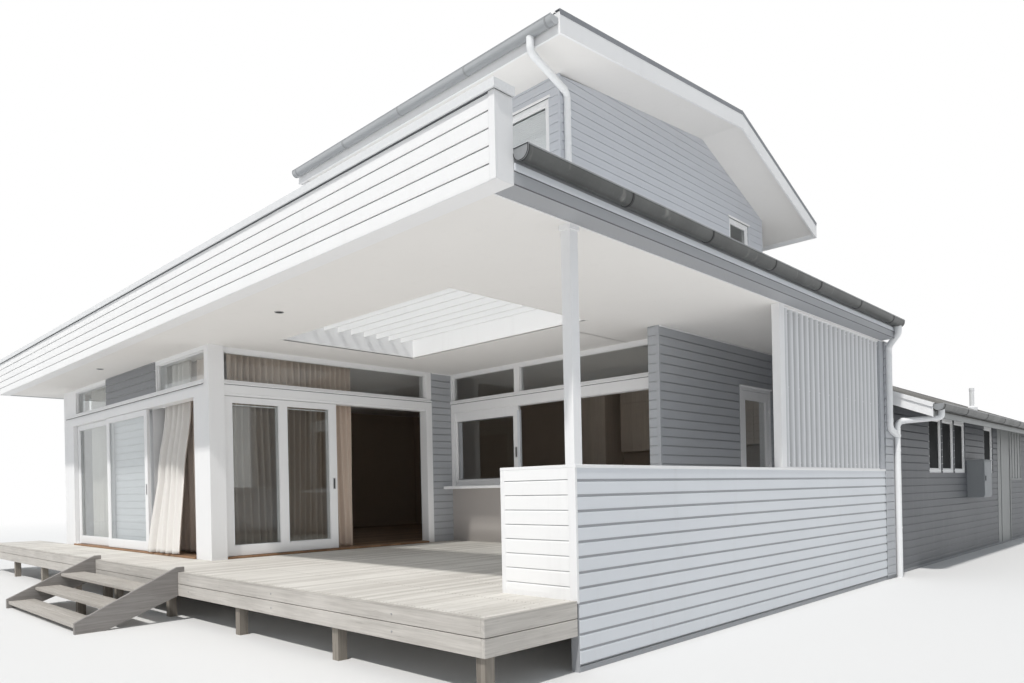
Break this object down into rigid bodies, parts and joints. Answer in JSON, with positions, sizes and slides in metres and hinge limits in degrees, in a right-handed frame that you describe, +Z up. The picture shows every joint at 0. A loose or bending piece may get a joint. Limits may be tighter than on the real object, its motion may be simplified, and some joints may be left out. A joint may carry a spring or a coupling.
{
  "type": "weatherboard beach house",
  "caption": "Timber beach house with a corner verandah, sliding doors, an open servery, a low upper storey and an old gabled wing.",
  "frame": {"origin": "centre of the foot of the deck's front right corner stump, on the ground", "axes": "+X to the right along the front, +Y back into the house, +Z up"},
  "size_m": [15.382, 20.338, 7.2641],
  "materials": {
    "white_trim": "painted",
    "grey_board": "painted",
    "pale_board": "painted",
    "deck_timber": "weathered",
    "floor_timber": "satin",
    "cupboard_timber": "satin",
    "white_sheet": "satin",
    "roof_metal": "matt",
    "gutter_metal": "matt",
    "pipe_metal": "satin",
    "box_metal": "satin",
    "clear_glass": "polished",
    "linen": "woven"
  },
  "bodies": {
    "house": {"deck": "deck_timber", "deck_bearers": "deck_timber", "stumps": "deck_timber", "step_stringers": "deck_timber", "step_treads": "deck_timber", "half_wall": "pale_board", "verandah_post": "white_trim", "corrugated_screen": "white_sheet", "passage_end_wall": "grey_board", "ground_floors": "floor_timber", "living_corner_post": "white_trim", "left_wall": "grey_board", "front_bay_wall": "grey_board", "front_door_frame": "white_trim", "side_door_frame": "white_trim", "living_end_wall": "grey_board", "kitchen_dado": "white_trim", "kitchen_window_frames": "white_trim", "kitchen_cupboards": "cupboard_timber", "ground_floor_glass": "clear_glass", "grey_wall_front": "grey_board", "grey_wall_over_door": "grey_board", "grey_wall_back": "grey_board", "hinged_door_frame": "white_trim", "rear_wall": "grey_board", "ceiling": "white_trim", "front_fascia": "white_trim", "side_eave": "pale_board", "main_roof": "roof_metal", "skylight_well": "white_trim", "skylight_slats": "white_trim", "upper_floor": "floor_timber", "upper_front_wall": "grey_board", "upper_right_gable": "grey_board", "upper_left_gable": "grey_board", "upper_rear_wall": "grey_board", "window_frames": "white_trim", "upper_glass": "clear_glass", "upper_roof": "roof_metal", "upper_barge_boards": "white_trim", "gutters": "gutter_metal", "downpipes": "pipe_metal", "wing_right_wall": "grey_board", "wing_left_wall": "grey_board", "wing_end_wall": "grey_board", "wing_roof": "roof_metal", "wing_barge_boards": "white_trim", "meter_box": "box_metal", "doorway_curtain": "linen", "room_curtains": "linen"},
    "front_left_door": {"front_left_leaf": "white_trim", "front_left_glass": "clear_glass"},
    "front_right_door": {"front_right_leaf": "white_trim", "front_right_glass": "clear_glass"},
    "side_sliding_door": {"side_slide_leaf": "white_trim", "side_slide_glass": "clear_glass"},
    "passage_door": {"hinged_door_leaf": "white_trim", "hinged_door_glass": "clear_glass"}
  },
  "joints": [
    {"name": "front_left_slide", "type": "slide", "parent": "house", "child": "front_left_door", "axis": [1, 0, 0], "range_m": [0, 1.77]},
    {"name": "front_right_slide", "type": "slide", "parent": "house", "child": "front_right_door", "axis": [1, 0, 0], "range_m": [0, 1.77]},
    {"name": "side_slide", "type": "slide", "parent": "house", "child": "side_sliding_door", "axis": [0, 1, 0], "range_m": [0, 1.77]},
    {"name": "passage_hinge", "type": "hinge", "parent": "house", "child": "passage_door", "pos_m": [-1.461, 7.647, 1.73], "axis": [0, 0, 1], "range_deg": [0, 90]}
  ]
}
